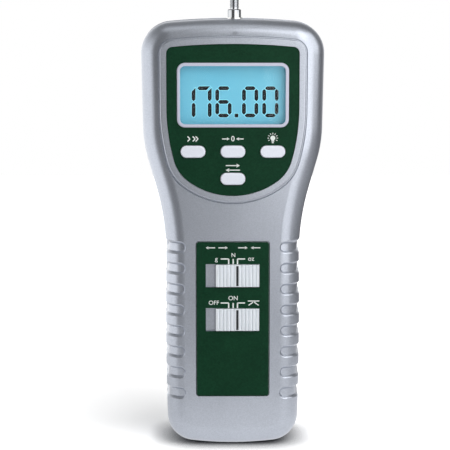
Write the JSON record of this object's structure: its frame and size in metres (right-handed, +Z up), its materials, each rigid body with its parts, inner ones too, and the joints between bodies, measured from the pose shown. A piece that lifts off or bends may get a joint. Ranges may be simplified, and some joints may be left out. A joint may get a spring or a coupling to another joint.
{
  "type": "force gauge",
  "caption": "Handheld digital force gauge: two-shell housing with grip grooves, backlit display, push buttons, slide switches, and a top spindle with a hook.",
  "frame": {"origin": "middle of the foot, level with the lowest point of the housing", "axes": "+Z up along the housing to the spindle, -Y out of the display, +X to the right of someone who faces the display"},
  "size_m": [0.0892, 0.045, 0.2419],
  "materials": {
    "silver_paint": "satin silver paint with a fine metallic grain",
    "green_faceplate": "screen-printed dark green, fine matte texture",
    "pale_trim": "pale grey-lavender moulding",
    "button_plastic": "pale satin key plastic",
    "slider_plastic": "pale moulded plastic with ribs",
    "clear_window": "clear polished acrylic",
    "display_glass": "liquid-crystal glass lit blue from behind",
    "white_plastic": "white moulding",
    "elastomer": "layered elastomer strip",
    "circuit_board": "green solder mask",
    "black_plastic": "black moulding",
    "screw_steel": "zinc-plated steel",
    "machined_aluminium": "milled and anodised aluminium",
    "brass_insert": "turned brass",
    "bright_bush": "bright plated bush",
    "chrome_plate": "polished plated steel",
    "cell_jacket": "plain dark cell jacket over a metal can",
    "nickel_contact": "nickel-plated spring steel"
  },
  "bodies": {
    "housing": {"front_shell": "silver_paint", "rear_shell": "silver_paint", "display_faceplate": "green_faceplate", "switch_faceplate": "green_faceplate", "window_frame": "pale_trim", "display_window": "clear_window", "lcd_panel": "display_glass", "lcd_holder": "white_plastic", "lcd_connectors": "elastomer", "backlight_panel": "white_plastic", "main_board": "circuit_board", "board_chips": "black_plastic", "board_screws": "screw_steel", "button_switches": "black_plastic", "units_switch_body": "screw_steel", "power_switch_body": "screw_steel", "load_cell": "machined_aluminium", "load_cell_bracket": "machined_aluminium", "load_cell_screws": "screw_steel", "stand_inserts": "brass_insert", "spindle_bush": "bright_bush", "case_screws": "screw_steel", "battery_cells": "cell_jacket", "battery_contacts": "nickel_contact", "power_socket": "black_plastic", "output_socket": "black_plastic", "socket_board": "circuit_board"},
    "speed_button": {"speed_button": "button_plastic"},
    "zero_button": {"zero_button": "button_plastic"},
    "backlight_button": {"backlight_button": "button_plastic"},
    "reverse_button": {"reverse_button": "button_plastic"},
    "units_slider": {"units_slider": "slider_plastic"},
    "power_slider": {"power_slider": "slider_plastic"},
    "spindle": {"spindle": "chrome_plate", "spindle_screw": "screw_steel"},
    "tension_hook": {"tension_hook": "chrome_plate"},
    "battery_door": {"battery_door": "silver_paint", "door_screws": "screw_steel"}
  },
  "joints": [
    {"name": "speed_button_press", "type": "slide", "parent": "housing", "child": "speed_button", "axis": [0, 1, 0], "range_m": [0, 0.0005], "stiffness_N_per_m": 1000, "springref_m": -0.001},
    {"name": "zero_button_press", "type": "slide", "parent": "housing", "child": "zero_button", "axis": [0, 1, 0], "range_m": [0, 0.0005], "stiffness_N_per_m": 1000, "springref_m": -0.001},
    {"name": "backlight_button_press", "type": "slide", "parent": "housing", "child": "backlight_button", "axis": [0, 1, 0], "range_m": [0, 0.0005], "stiffness_N_per_m": 1000, "springref_m": -0.001},
    {"name": "reverse_button_press", "type": "slide", "parent": "housing", "child": "reverse_button", "axis": [0, 1, 0], "range_m": [0, 0.0005], "stiffness_N_per_m": 1000, "springref_m": -0.001},
    {"name": "units_slider_travel", "type": "slide", "parent": "housing", "child": "units_slider", "axis": [1, 0, 0], "range_m": [-0.0045, 0]},
    {"name": "power_slider_travel", "type": "slide", "parent": "housing", "child": "power_slider", "axis": [1, 0, 0], "range_m": [-0.0045, 0]},
    {"name": "spindle_travel", "type": "slide", "parent": "housing", "child": "spindle", "axis": [0, 0, 1], "range_m": [-0.0004, 0.0004], "stiffness_N_per_m": 2000, "deforming": ["load_cell"]},
    {"name": "hook_turn", "type": "hinge", "parent": "spindle", "child": "tension_hook", "pos_m": [0.001, 0.002, 0.2143], "axis": [0, 0, 1], "range_deg": [-180, 180]},
    {"name": "battery_door_lift", "type": "slide", "parent": "housing", "child": "battery_door", "axis": [0, 1, 0], "range_m": [0, 0.03]}
  ]
}
